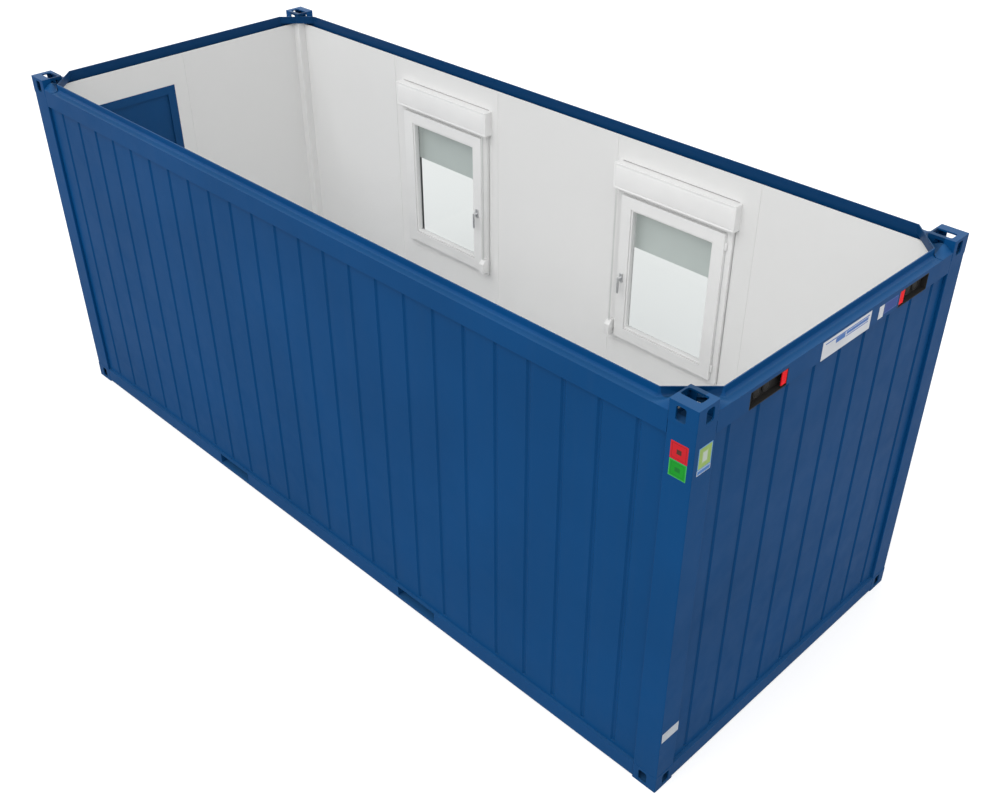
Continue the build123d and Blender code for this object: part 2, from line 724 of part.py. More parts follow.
# Windows: everything below is placed by its inset from the back wall's outer face
frame_front = room_inset + FRAME_PROUD
frame_outside = frame_front - FRAME_DEPTH
sash_front = frame_front + SASH_PROUD
sash_outside = sash_front - SASH_DEPTH
pane_front = sash_front - PANE_SETBACK
sash_middle = (sash_bottom + sash_top) / 2
sash_height = sash_top - sash_bottom
frame_middle = (window_frame_bottom + shutter_box_bottom) / 2
frame_height = shutter_box_bottom - window_frame_bottom


def window_block(width, height, middle, front, outside, mode=Mode.ADD):
    """A block at both windows, from a room-side inset to an outside one."""
    across = half_width - (front + outside) / 2
    with Locations(*[(end * WINDOW_CENTRE, across, middle) for end in (-1, 1)]):
        Box(width, front - outside, height, mode=mode)


with BuildPart() as window_frames:
    window_block(WINDOW_FRAME_WIDTH, frame_height, frame_middle, frame_front, frame_outside)
    window_block(
        SASH_WIDTH - 2 * FRAME_REBATE,
        sash_height - 2 * FRAME_REBATE,
        sash_middle,
        frame_front,
        sash_outside,
        mode=Mode.SUBTRACT,
    )
    window_block(
        SASH_WIDTH - 2 * FRAME_REBATE - 2 * FRAME_LIP,
        sash_height - 2 * FRAME_REBATE - 2 * FRAME_LIP,
        sash_middle,
        frame_front,
        frame_outside,
        mode=Mode.SUBTRACT,
    )
save(window_frames.part, "window_frames")

opening_width = SASH_WIDTH - 2 * SASH_FACE
opening_height = sash_height - 2 * SASH_FACE
body_trim = 2 * (FRAME_REBATE + SASH_FIT)
with BuildPart() as window_sashes:
    window_block(SASH_WIDTH, sash_height, sash_middle, sash_front, frame_front)
    window_block(
        SASH_WIDTH - body_trim,
        sash_height - body_trim,
        sash_middle,
        frame_front,
        sash_outside,
    )
    window_block(
        opening_width,
        opening_height,
        sash_middle,
        sash_front,
        pane_front,
        mode=Mode.SUBTRACT,
    )
    window_block(
        opening_width + 2 * PANE_REBATE,
        opening_height + 2 * PANE_REBATE,
        sash_middle,
        pane_front,
        sash_outside,
        mode=Mode.SUBTRACT,
    )
save(window_sashes.part, "window_sashes")

with BuildPart() as window_panes:
    window_block(
        opening_width + 2 * (PANE_REBATE - PANE_FIT),
        opening_height + 2 * (PANE_REBATE - PANE_FIT),
        sash_middle,
        pane_front,
        sash_outside,
    )
save(window_panes.part, "window_panes")

# Roller shutters: box over the frame, guides outside it, curtain let down a third
box_middle = shutter_box_bottom + SHUTTER_BOX_HEIGHT / 2
curtain_width = GUIDE_SPACING + 2 * (GUIDE_WIDTH - GUIDE_WALL - CURTAIN_FIT)
curtain_front = frame_outside - (GUIDE_DEPTH - CURTAIN_THICKNESS) / 2
curtain_outside = curtain_front - CURTAIN_THICKNESS
with BuildPart() as shutter_boxes:
    window_block(
        SHUTTER_BOX_WIDTH,
        SHUTTER_BOX_HEIGHT,
        box_middle,
        room_inset + SHUTTER_BOX_PROUD,
        room_inset,
    )
    window_block(
        WINDOW_FRAME_WIDTH,
        SHUTTER_BOX_HEIGHT,
        box_middle,
        room_inset,
        SHUTTER_BOX_INSET,
    )
    window_block(
        curtain_width + 2 * CURTAIN_FIT,
        2 * CURTAIN_ENTRY,
        shutter_box_bottom,
        curtain_front + CURTAIN_FIT,
        curtain_outside - CURTAIN_FIT,
        mode=Mode.SUBTRACT,
    )
save(shutter_boxes.part, "shutter_boxes")

with BuildPart() as shutter_guides:
    for end in (-1, 1):
        for edge in (-1, 1):
            across = end * WINDOW_CENTRE + edge * (GUIDE_SPACING + GUIDE_WIDTH) / 2
            with BuildSketch(plan_plane("back", window_frame_bottom)):
                with Locations((across, frame_outside - GUIDE_DEPTH / 2)):
                    Rectangle(GUIDE_WIDTH, GUIDE_DEPTH)
                    with Locations((-edge * GUIDE_WALL, 0)):
                        Rectangle(
                            GUIDE_WIDTH,
                            CURTAIN_THICKNESS + 2 * CURTAIN_FIT,
                            mode=Mode.SUBTRACT,
                        )
            extrude(amount=frame_height)
save(shutter_guides.part, "shutter_guides")

curtain_top = shutter_box_bottom + CURTAIN_ENTRY - CURTAIN_FIT
curtain_height = curtain_top - curtain_bottom
slat_count = int(curtain_height // SLAT_HEIGHT)
with BuildPart() as shutter_curtains:
    window_block(
        curtain_width,
        curtain_height,
        (curtain_bottom + curtain_top) / 2,
        curtain_front,
        curtain_outside,
    )
    for slat in range(1, slat_count):
        window_block(
            curtain_width,
            2 * CURTAIN_GROOVE,
            curtain_bottom + slat * SLAT_HEIGHT,
            curtain_outside + CURTAIN_GROOVE,
            curtain_outside,
            mode=Mode.SUBTRACT,
        )
save(shutter_curtains.part, "shutter_curtains")

# Window handles on the stiles near the middle of the wall, levers hanging down
handle_offset = WINDOW_CENTRE - SASH_WIDTH / 2 + SASH_FACE / 2
with BuildPart() as window_handles:
    for end in (-1, 1):
        with BuildSketch(face_plane("back", sash_front)):
            with Locations((end * handle_offset, sash_middle)):
                RectangleRounded(WINDOW_ROSE_WIDTH, WINDOW_ROSE_LENGTH, WINDOW_ROSE_WIDTH / 3)
        extrude(amount=-WINDOW_ROSE)
        with BuildSketch(face_plane("back", sash_front)):
            with Locations((end * handle_offset, sash_middle)):
                Circle(WINDOW_LEVER_WIDTH / 2)
        extrude(amount=-WINDOW_LEVER_REACH)
        with BuildSketch(face_plane("back", sash_front + WINDOW_LEVER_REACH)):
            with Locations((end * handle_offset, sash_middle - WINDOW_LEVER_LENGTH / 2)):
                SlotOverall(
                    WINDOW_LEVER_LENGTH + WINDOW_LEVER_WIDTH,
                    WINDOW_LEVER_WIDTH,
                    rotation=90,
                )
        extrude(amount=WINDOW_LEVER_THICKNESS)
save(window_handles.part, "window_handles")

# Belt winders at the foot of the frames, below the handles
with BuildPart() as belt_winders:
    for end in (-1, 1):
        with BuildSketch(plan_plane("back", winder_bottom)):
            with Locations((end * (WINDOW_CENTRE - WINDER_OFFSET), frame_front + WINDER_DEPTH / 2)):
                Rectangle(WINDER_WIDTH, WINDER_DEPTH)
        extrude(amount=WINDER_HEIGHT)
save(belt_winders.part, "belt_winders")

# Outer sills: sheet under the frames with a drip nose
with BuildPart() as window_sills:
    for end in (-1, 1):
        with BuildSketch(plan_plane("back", window_frame_bottom - SILL_THICKNESS)):
            with Locations((end * WINDOW_CENTRE, (SILL_INSET + frame_outside) / 2)):
                Rectangle(WINDOW_FRAME_WIDTH, frame_outside - SILL_INSET)
        extrude(amount=SILL_THICKNESS)
        with BuildSketch(plan_plane("back", window_frame_bottom - SILL_NOSE)):
            with Locations((end * WINDOW_CENTRE, SILL_INSET + SILL_THICKNESS / 2)):
                Rectangle(WINDOW_FRAME_WIDTH, SILL_THICKNESS)
        extrude(amount=SILL_NOSE)
save(window_sills.part, "window_sills")

# Power inlets: black boxes let into the top rail, open to the outside
with BuildPart() as power_inlets:
    with BuildSketch(face_plane("right", 0)):
        inlet_outline()
    extrude(amount=-INLET_DEPTH)
    with BuildSketch(face_plane("right", 0)):
        with Locations(*[(end * INLET_OFFSET, top_rail_bottom + INLET_HEIGHT / 2) for end in (-1, 1)]):
            Rectangle(INLET_WIDTH - 2 * INLET_WALL, INLET_HEIGHT - 2 * INLET_WALL)
    extrude(amount=-INLET_RECESS, mode=Mode.SUBTRACT)
save(power_inlets.part, "power_inlets")
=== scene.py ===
import json
import math

import bpy
from mathutils import Matrix, Vector


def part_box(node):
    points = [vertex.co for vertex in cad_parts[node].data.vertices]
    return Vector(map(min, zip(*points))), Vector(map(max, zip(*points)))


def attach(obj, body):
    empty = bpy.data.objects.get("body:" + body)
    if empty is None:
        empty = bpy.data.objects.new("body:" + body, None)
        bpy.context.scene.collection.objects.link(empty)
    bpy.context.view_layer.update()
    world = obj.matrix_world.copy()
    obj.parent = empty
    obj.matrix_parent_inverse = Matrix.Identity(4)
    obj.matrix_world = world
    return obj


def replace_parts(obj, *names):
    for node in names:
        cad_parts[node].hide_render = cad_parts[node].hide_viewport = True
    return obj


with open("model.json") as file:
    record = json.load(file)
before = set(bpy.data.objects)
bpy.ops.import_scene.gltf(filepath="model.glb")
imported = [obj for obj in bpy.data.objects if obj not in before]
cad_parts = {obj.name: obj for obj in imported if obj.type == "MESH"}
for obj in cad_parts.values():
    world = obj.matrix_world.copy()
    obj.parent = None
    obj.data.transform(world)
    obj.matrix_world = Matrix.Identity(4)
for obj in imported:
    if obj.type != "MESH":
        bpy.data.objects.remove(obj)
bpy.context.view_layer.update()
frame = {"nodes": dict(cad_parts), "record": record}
nodes = frame["nodes"]
slotOf = {part["node"]: part["material_slot"] for part in frame["record"]["subparts"]}
mm = 0.001


# Modelling steps used by all pieces

def startFresh():
    if bpy.context.object and bpy.context.object.mode != "OBJECT":
        bpy.ops.object.mode_set(mode="OBJECT")
    bpy.ops.object.select_all(action="DESELECT")


def makeActive(piece):
    startFresh()
    piece.select_set(True)
    bpy.context.view_layer.objects.active = piece


def addBlock(name, low, high):  # corners in millimetres
    startFresh()
    middle = [(a + b) / 2 * mm for a, b in zip(low, high)]
    size = [(b - a) * mm for a, b in zip(low, high)]
    bpy.ops.mesh.primitive_cube_add(size=1, location=middle, scale=size)
    block = bpy.context.object
    bpy.ops.object.transform_apply(location=True, rotation=True, scale=True)
    block.name = block.data.name = name
    return block


def addRound(name, centre, radius, depth, turn, sides=24):
    startFresh()
    bpy.ops.mesh.primitive_cylinder_add(
        vertices=sides, radius=radius * mm, depth=depth * mm,
        location=[c * mm for c in centre], rotation=turn)
    stub = bpy.context.object
    bpy.ops.object.transform_apply(location=True, rotation=True, scale=True)
    stub.name = stub.data.name = name
    return stub


def addRing(name, across, rise, band, start, depth, turn="X"):
    # flat band inside a rectangle, raised into a solid; turn is the axis that the sheet turns about
    startFresh()
    bpy.ops.mesh.primitive_plane_add(size=1)
    ring = bpy.context.object
    ring.name = ring.data.name = name
    ring.scale = ((across[1] - across[0]) * mm, (rise[1] - rise[0]) * mm, 1)
    bpy.ops.object.transform_apply(location=True, rotation=True, scale=True)
    pickFaces(ring, lambda face: True)
    bpy.ops.mesh.inset(thickness=band * mm)
    bpy.ops.mesh.delete(type="FACE")
    bpy.ops.mesh.select_all(action="SELECT")
    bpy.ops.mesh.extrude_region_move(TRANSFORM_OT_translate={"value": (0, 0, depth * mm)})
    bpy.ops.mesh.select_all(action="SELECT")
    bpy.ops.mesh.normals_make_consistent(inside=False)
    bpy.ops.object.mode_set(mode="OBJECT")
    middle = ((across[0] + across[1]) / 2 * mm, (rise[0] + rise[1]) / 2 * mm)
    if turn == "X":  # stands across Y, from start towards -Y
        ring.rotation_euler = (math.radians(90), 0, 0)
        ring.location = (middle[0], start * mm, middle[1])
    else:  # stands across X, from start towards +X
        ring.rotation_euler = (math.radians(90), 0, math.radians(90))
        ring.location = (start * mm, middle[0], middle[1])
    bpy.ops.object.transform_apply(location=True, rotation=True, scale=True)
    return ring


def pickFaces(piece, wanted):
    makeActive(piece)
    bpy.ops.object.mode_set(mode="EDIT")
    bpy.ops.mesh.select_mode(type="FACE")
    bpy.ops.mesh.select_all(action="DESELECT")
    bpy.ops.object.mode_set(mode="OBJECT")
    for face in piece.data.polygons:
        face.select = wanted(face)
    bpy.ops.object.mode_set(mode="EDIT")


def pickCorner(piece, index):
    makeActive(piece)
    bpy.ops.object.mode_set(mode="EDIT")
    bpy.ops.mesh.select_mode(type="VERT")
    bpy.ops.mesh.select_all(action="DESELECT")
    bpy.ops.object.mode_set(mode="OBJECT")
    piece.data.vertices[index].select = True
    bpy.ops.object.mode_set(mode="EDIT")


def facing(direction):
    towards = Vector(direction)
    return lambda face: face.normal.dot(towards) > 0.99


def stepFace(piece, wanted, steps):  # each step is (inset, height) in millimetres
    pickFaces(piece, wanted)
    for inset, height in steps:
        bpy.ops.mesh.inset(thickness=inset * mm, depth=height * mm)
    bpy.ops.object.mode_set(mode="OBJECT")


def softenEdges(piece, width, rows=2):
    makeActive(piece)
    bpy.ops.object.modifier_add(type="BEVEL")
    bevel = piece.modifiers[-1]
    bevel.width = width * mm
    bevel.segments = rows
    bevel.limit_method = "ANGLE"
    bevel.angle_limit = math.radians(30)
    bpy.ops.object.modifier_apply(modifier=bevel.name)
    bpy.ops.object.shade_smooth_by_angle(angle=math.radians(35))


def mirroredCopy(piece, name, axes):  # a copy with its own mesh
    makeActive(piece)
    bpy.ops.object.duplicate(linked=False)
    twin = bpy.context.object
    for axis in axes:
        twin.scale[axis] = -1
    bpy.ops.object.transform_apply(location=True, rotation=True, scale=True)
    bpy.ops.object.mode_set(mode="EDIT")
    bpy.ops.mesh.select_all(action="SELECT")
    bpy.ops.mesh.normals_make_consistent(inside=False)
    bpy.ops.object.mode_set(mode="OBJECT")
    twin.name = twin.data.name = name
    return twin


def paintCorners(piece, names):  # front right piece, then its front left, back right and back left twins
    for name, axes in zip(names, ((0,), (1,), (0, 1))):
        finishPiece(mirroredCopy(piece, name, axes), finishes["frame_paint"])
    finishPiece(piece, finishes["frame_paint"])


def joinAll(pieces, name):
    startFresh()
    for piece in pieces:
        piece.select_set(True)
    bpy.context.view_layer.objects.active = pieces[0]
    bpy.ops.object.join()
    pieces[0].name = pieces[0].data.name = name
    return pieces[0]


def finishPiece(piece, finish, body="body"):
    piece.data.materials.clear()
    piece.data.materials.append(finish)
    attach(piece, body)
    return piece


# Finishes

def newFinish(name, tone, roughness, metallic=0.0, specular=0.5):
    finish = bpy.data.materials.new(name)
    finish.use_nodes = True
    shader = finish.node_tree.nodes["Principled BSDF"]
    shader.inputs["Base Color"].default_value = (*tone, 1)
    shader.inputs["Roughness"].default_value = roughness
    shader.inputs["Metallic"].default_value = metallic
    shader.inputs["Specular IOR Level"].default_value = specular
    return finish


def placeOn(finish, stretch=(1, 1, 1)):
    tree = finish.node_tree
    places = tree.nodes.new("ShaderNodeTexCoord")
    mapping = tree.nodes.new("ShaderNodeMapping")
    mapping.inputs["Scale"].default_value = stretch
    tree.links.new(places.outputs["Object"], mapping.inputs["Vector"])
    return mapping.outputs["Vector"]


def grain(finish, size, detail, stretch=(1, 1, 1)):  # cloudy noise, its size in millimetres
    tree = finish.node_tree
    noise = tree.nodes.new("ShaderNodeTexNoise")
    noise.inputs["Scale"].default_value = 1 / (size * mm)
    noise.inputs["Detail"].default_value = detail
    tree.links.new(placeOn(finish, stretch), noise.inputs["Vector"])
    return noise.outputs["Fac"]


def ramp(finish, source, stops):
    tree = finish.node_tree
    node = tree.nodes.new("ShaderNodeValToRGB")
    marks = node.color_ramp.elements
    for mark, (place, tone) in zip(marks, stops[:2]):
        mark.position, mark.color = place, (*tone, 1)
    for place, tone in stops[2:]:
        marks.new(place).color = (*tone, 1)
    tree.links.new(source, node.inputs["Fac"])
    return node.outputs["Color"]


def blendTones(finish, amount, first, second):
    tree = finish.node_tree
    mix = tree.nodes.new("ShaderNodeMix")
    mix.data_type = "RGBA"
    for socket, value in (("Factor_Float", amount), ("A_Color", first), ("B_Color", second)):
        target = next(i for i in mix.inputs if i.identifier == socket)
        if isinstance(value, bpy.types.NodeSocket):
            tree.links.new(value, target)
        else:
            target.default_value = (*value, 1) if hasattr(value, "__len__") else value
    return next(o for o in mix.outputs if o.identifier == "Result_Color")


def spread(finish, source, low, high, fromLow=0.3, fromHigh=0.7):
    tree = finish.node_tree
    node = tree.nodes.new("ShaderNodeMapRange")
    node.inputs["From Min"].default_value = fromLow
    node.inputs["From Max"].default_value = fromHigh
    node.inputs["To Min"].default_value = low
    node.inputs["To Max"].default_value = high
    tree.links.new(source, node.inputs["Value"])
    return node.outputs["Result"]


def placeAlong(finish, axis):
    tree = finish.node_tree
    split = tree.nodes.new("ShaderNodeSeparateXYZ")
    tree.links.new(placeOn(finish), split.inputs["Vector"])
    return split.outputs[axis]


def facingUp(finish):
    tree = finish.node_tree
    faces = tree.nodes.new("ShaderNodeNewGeometry")
    split = tree.nodes.new("ShaderNodeSeparateXYZ")
    tree.links.new(faces.outputs["Normal"], split.inputs["Vector"])
    return split.outputs["Z"]


def maths(finish, operation, first, second=None):
    tree = finish.node_tree
    node = tree.nodes.new("ShaderNodeMath")
    node.operation = operation
    tree.links.new(first, node.inputs[0])
    if isinstance(second, bpy.types.NodeSocket):
        tree.links.new(second, node.inputs[1])
    elif second is not None:
        node.inputs[1].default_value = second
    return node.outputs["Value"]


def mixShaders(finish, share, first, second):
    tree = finish.node_tree
    mixed = tree.nodes.new("ShaderNodeMixShader")
    for place, source in enumerate((share, first, second)):
        tree.links.new(source, mixed.inputs[place])
    tree.links.new(mixed.outputs["Shader"], tree.nodes["Material Output"].inputs["Surface"])


def setTone(finish, source):
    finish.node_tree.links.new(source, finish.node_tree.nodes["Principled BSDF"].inputs["Base Color"])


def setGloss(finish, source):
    finish.node_tree.links.new(source, finish.node_tree.nodes["Principled BSDF"].inputs["Roughness"])


def addRelief(finish, source, depth, strength=1.0):
    tree = finish.node_tree
    shader = tree.nodes["Principled BSDF"]
    bump = tree.nodes.new("ShaderNodeBump")
    bump.inputs["Strength"].default_value = strength
    bump.inputs["Distance"].default_value = depth * mm
    if shader.inputs["Normal"].is_linked:
        tree.links.new(shader.inputs["Normal"].links[0].from_socket, bump.inputs["Normal"])
    tree.links.new(source, bump.inputs["Height"])
    tree.links.new(bump.outputs["Normal"], shader.inputs["Normal"])


def scaled(tone, factor):
    return tuple(c * factor for c in tone)


# Upward faces of the steel paint blend towards a paler, bluer tone: a painted reflection of the sky.
steelBlue = {"tone": (0.0014, 0.0615, 0.200), "dust": (0.035, 0.09, 0.19), "specular": 0.125,
             "gloss": (0.32, 0.44), "footHeight": 0.45, "paintedTopShading": (0.28, 0.50, 0.57),
             "paintedTopShare": 0.045, "shade": 0.6, "roomTop": 2.46, "roomReach": (2.9635, 1.1535)}


def insideRoof(finish):  # 1 on the upstands' room side, 0 elsewhere
    low = steelBlue["roomTop"]
    inside = spread(finish, placeAlong(finish, "Z"), 0.0, 1.0, low, low + 0.01)
    for axis, reach in zip("XY", steelBlue["roomReach"]):
        away = maths(finish, "ABSOLUTE", placeAlong(finish, axis))
        inside = maths(finish, "MULTIPLY", maths(finish, "LESS_THAN", away, reach), inside)
    return inside


def sprayedPaint(name, tone):
    dust = steelBlue["dust"]
    finish = newFinish(name, tone, 0.4, specular=steelBlue["specular"])
    clouds = grain(finish, 900, 3)
    runs = grain(finish, 60, 4, (1, 1, 0.04))
    patchy = ramp(finish, clouds, [(0.3, scaled(tone, 0.93)), (0.7, scaled(tone, 1.07))])
    streaked = blendTones(finish, spread(finish, runs, 0.0, 0.06, 0.5, 0.75), patchy, dust)
    foot = spread(finish, placeAlong(finish, "Z"), 0.10, 0.0, 0.02, steelBlue["footHeight"])
    footed = blendTones(finish, foot, streaked, dust)
    # painted sky reflection: upward faces take the paler, bluer tone
    upward = spread(finish, facingUp(finish), 0.0, steelBlue["paintedTopShare"], 0.7, 0.95)
    shaded = blendTones(finish, insideRoof(finish), footed, scaled(tone, steelBlue["shade"]))
    setTone(finish, blendTones(finish, upward, shaded, steelBlue["paintedTopShading"]))
    setGloss(finish, spread(finish, grain(finish, 140, 3), *steelBlue["gloss"]))
    addRelief(finish, grain(finish, 3, 1), 0.02, 0.4)
    addRelief(finish, grain(finish, 700, 1), 4, 0.25)
    return finish


def coatedBoard(name, tone):
    finish = newFinish(name, tone, 0.5, specular=0.3)
    clouds = grain(finish, 1200, 2)
    patchy = ramp(finish, clouds, [(0.3, scaled(tone, 1.05)), (0.7, scaled(tone, 1.075))])
    # darker towards the top: painted shade that evens out the light falling in from above
    paintedShadeTop = spread(finish, placeAlong(finish, "Z"), 0.0, 1.0, 0.9, 2.5)
    setTone(finish, blendTones(finish, paintedShadeTop, patchy, scaled(tone, 0.90)))
    setGloss(finish, spread(finish, grain(finish, 80, 2), 0.45, 0.56))
    addRelief(finish, grain(finish, 2.5, 2), 0.04, 0.3)
    return finish


def mouldedPlastic(name, tone, roughness=0.32, specular=0.5, paintedTopShading=0.0):
    finish = newFinish(name, tone, roughness, specular=specular)
    clouds = grain(finish, 350, 2)
    clean = ramp(finish, clouds, [(0.3, scaled(tone, 0.97)), (0.7, scaled(tone, 1.02))])
    # painted shade: upward faces darken towards 0.4 of the tone by the given share
    upward = spread(finish, facingUp(finish), 0.0, paintedTopShading, 0.5, 0.95)
    setTone(finish, blendTones(finish, upward, clean, scaled(tone, 0.4)))
    setGloss(finish, spread(finish, grain(finish, 60, 3), roughness - 0.04, roughness + 0.07))
    addRelief(finish, grain(finish, 1.6, 1), 0.015, 0.3)
    return finish


def brushedMetal(name, tone, roughness=0.3):
    finish = newFinish(name, tone, roughness, metallic=0.85)
    brushing = grain(finish, 4, 3, (1, 1, 0.05))
    setTone(finish, ramp(finish, brushing, [(0.35, scaled(tone, 0.9)), (0.7, scaled(tone, 1.08))]))
    setGloss(finish, spread(finish, brushing, roughness - 0.06, roughness + 0.1))
    addRelief(finish, brushing, 0.02, 0.3)
    return finish


def glowingSlats(name, tone, glow=0.21):  # plastic slats with a painted glow: emission lights them though they are no lamp
    finish = mouldedPlastic(name, tone, 0.5, 0.3)
    shader = finish.node_tree.nodes["Principled BSDF"]
    shader.inputs["Emission Color"].default_value = (*tone, 1)
    shader.inputs["Emission Strength"].default_value = glow
    return finish


def cellShade(finish, count, channel, stretch=(1, 1, 1)):  # cells a metre, one random shade each
    tree = finish.node_tree
    cells = tree.nodes.new("ShaderNodeTexVoronoi")
    cells.inputs["Scale"].default_value = count
    tree.links.new(placeOn(finish, stretch), cells.inputs["Vector"])
    split = tree.nodes.new("ShaderNodeSeparateColor")
    tree.links.new(cells.outputs["Color"], split.inputs["Color"])
    return split.outputs[channel]


def spangledZinc(name):
    tone = (0.46, 0.48, 0.49)
    finish = newFinish(name, tone, 0.42, metallic=0.8)
    flake = cellShade(finish, 60, "Red")
    setTone(finish, ramp(finish, flake, [(0.0, scaled(tone, 0.8)), (1.0, scaled(tone, 1.15))]))
    setGloss(finish, spread(finish, flake, 0.34, 0.5, 0, 1))
    addRelief(finish, grain(finish, 400, 2), 1.5, 0.3)
    return finish


def pressedChips(name):
    tone = (0.46, 0.31, 0.16)
    finish = newFinish(name, tone, 0.75, specular=0.2)
    chip = cellShade(finish, 110, "Green", (1, 0.5, 1))
    setTone(finish, ramp(finish, chip, [(0, scaled(tone, 0.65)), (1, scaled(tone, 1.3))]))
    addRelief(finish, chip, 0.3, 0.4)
    return finish


def speckledVinyl(name):
    tone = (0.46, 0.47, 0.48)
    finish = newFinish(name, tone, 0.42, specular=0.4)
    fine = grain(finish, 5, 1)
    coarse = grain(finish, 14, 1)
    flecks = ramp(finish, fine, [(0.38, scaled(tone, 0.62)), (0.42, tone),
                                 (0.6, tone), (0.66, scaled(tone, 1.6))])
    pale = spread(finish, coarse, 0, 0.5, 0.56, 0.62)
    setTone(finish, blendTones(finish, pale, flecks, scaled(tone, 1.25)))
    setGloss(finish, spread(finish, grain(finish, 500, 3), 0.34, 0.55))
    addRelief(finish, fine, 0.05, 0.3)
    return finish


def clearPane(name, tint):  # lets light through unbent, with a wavy reflection on top
    finish = bpy.data.materials.new(name)
    finish.use_nodes = True
    tree = finish.node_tree
    tree.nodes.remove(tree.nodes["Principled BSDF"])
    through = tree.nodes.new("ShaderNodeBsdfTransparent")
    through.inputs["Color"].default_value = (*tint, 1)
    mirror = tree.nodes.new("ShaderNodeBsdfGlossy")
    mirror.inputs["Roughness"].default_value = 0.02
    waves = tree.nodes.new("ShaderNodeBump")
    waves.inputs["Strength"].default_value = 0.2
    waves.inputs["Distance"].default_value = 0.2 * mm
    tree.links.new(grain(finish, 500, 1), waves.inputs["Height"])
    tree.links.new(waves.outputs["Normal"], mirror.inputs["Normal"])
    angle = tree.nodes.new("ShaderNodeFresnel")
    angle.inputs["IOR"].default_value = 1.45
    faces = tree.nodes.new("ShaderNodeNewGeometry")
    leaving = spread(finish, faces.outputs["Backfacing"], 1.0, 0.0, 0, 1)
    share = maths(finish, "MULTIPLY", angle.outputs["Fac"], leaving)
    mixShaders(finish, share, through.outputs["BSDF"], mirror.outputs["BSDF"])
    return finish


def printedFilm(name, tone):
    roughness = 0.35
    finish = newFinish(name, tone, roughness, specular=0.3)
    fading = grain(finish, 120, 3)
    setTone(finish, ramp(finish, fading, [(0.3, scaled(tone, 0.93)), (0.72, scaled(tone, 1.05))]))
    setGloss(finish, spread(finish, fading, roughness - 0.05, roughness + 0.1))
    addRelief(finish, grain(finish, 30, 2), 0.1, 0.3)
    return finish


finishes = {
    "frame_paint": sprayedPaint("framePaint", steelBlue["tone"]),
    "wall_paint": sprayedPaint("wallPaint", scaled(steelBlue["tone"], 0.97)),
    "door_paint": sprayedPaint("doorPaint", (0.006, 0.058, 0.175)),
    "hinge_steel": sprayedPaint("hingePaint", (0.006, 0.060, 0.180)),
    "galvanised": spangledZinc("spangledZinc"),
    "chipboard": pressedChips("pressedChips"),
    "floor_vinyl": speckledVinyl("speckledVinyl"),
    "lining": coatedBoard("whiteBoard", (0.86, 0.86, 0.853)),
    "handle_metal": brushedMetal("brushedHandle", (0.66, 0.67, 0.68)),
    # the window plastic's upward faces get painted shade
    "window_plastic": mouldedPlastic("whiteWindowPlastic", (0.88, 0.88, 0.875), paintedTopShading=0.35),
    "window_glass": clearPane("clearPane", (0.815, 0.83, 0.825)),
    "guide_plastic": mouldedPlastic("greyGuide", (0.16, 0.17, 0.17), 0.45),
    "curtain_plastic": glowingSlats("greySlats", (0.90, 0.94, 0.925)),
    "sill_metal": brushedMetal("sillSheet", (0.55, 0.56, 0.56), 0.4),
    "inlet_black": mouldedPlastic("inletBlack", (0.022, 0.021, 0.020), 0.55, 0.3),
}
films = {
    "red": printedFilm("signRed", (0.62, 0.012, 0.022)),
    "green": printedFilm("signGreen", (0.006, 0.32, 0.020)),
    "white": printedFilm("signWhite", (0.72, 0.74, 0.78)),
    "blueBand": printedFilm("signBlueBand", (0.045, 0.14, 0.46)),
    "darkRed": printedFilm("signDarkRed", (0.30, 0.010, 0.014)),
    "markDark": printedFilm("signMarkDark", (0.09, 0.03, 0.022)),
    "darkGreen": printedFilm("signDarkGreen", (0.006, 0.20, 0.025)),
    "paleGreen": printedFilm("signPaleGreen", (0.06, 0.42, 0.10)),
    "paleLime": printedFilm("labelPaleLime", (0.42, 0.56, 0.27)),
    "palePatch": printedFilm("labelPalePatch", (0.56, 0.64, 0.56)),
    "paleGrey": printedFilm("signPaleGrey", (0.58, 0.62, 0.67)),
    "deepBlue": printedFilm("labelDeepBlue", (0.022, 0.065, 0.28)),
    "midBlue": printedFilm("signMidBlue", (0.075, 0.20, 0.52)),
    "lime": printedFilm("labelLime", (0.34, 0.50, 0.14)),
    "sky": printedFilm("labelSky", (0.16, 0.36, 0.66)),
    "plateRed": mouldedPlastic("inletRed", (0.95, 0.008, 0.016), 0.45, 0.2),
    "greySeal": mouldedPlastic("greySeal", (0.68, 0.69, 0.69), 0.6, 0.3),
    "strap": mouldedPlastic("shutterStrap", (0.66, 0.67, 0.66), 0.8, 0.1),
    "skirting": mouldedPlastic("skirtingGrey", (0.52, 0.53, 0.53), 0.4),
    "zincScrew": brushedMetal("zincScrew", (0.55, 0.55, 0.53), 0.35),
}
for nodeName, piece in nodes.items():
    for materialSlot in piece.material_slots:
        materialSlot.material = finishes[slotOf[nodeName]]
print("stage: finishes on", len(nodes), "nodes")


# Studio: pale floor, even sky, one large soft lamp from above and the front; the lens values and the
# eye are those fitted to the photograph, in metres
studio = {"floorHalf": 40, "floorTone": (0.60, 0.60, 0.60), "floorGlow": 0.55,
          "bounceTone": (0.33, 0.33, 0.33), "skyLight": 1.0, "lampPower": 1.07, "lampTilt": 42,
          "lampPlace": (0, -3, 8), "lampSpread": 50, "lens": 42.253, "sensor": 36, "farthest": 200,
          "shift": (-0.00256, 0.01767), "eye": (5.3524, -4.7405, 5.4892)}


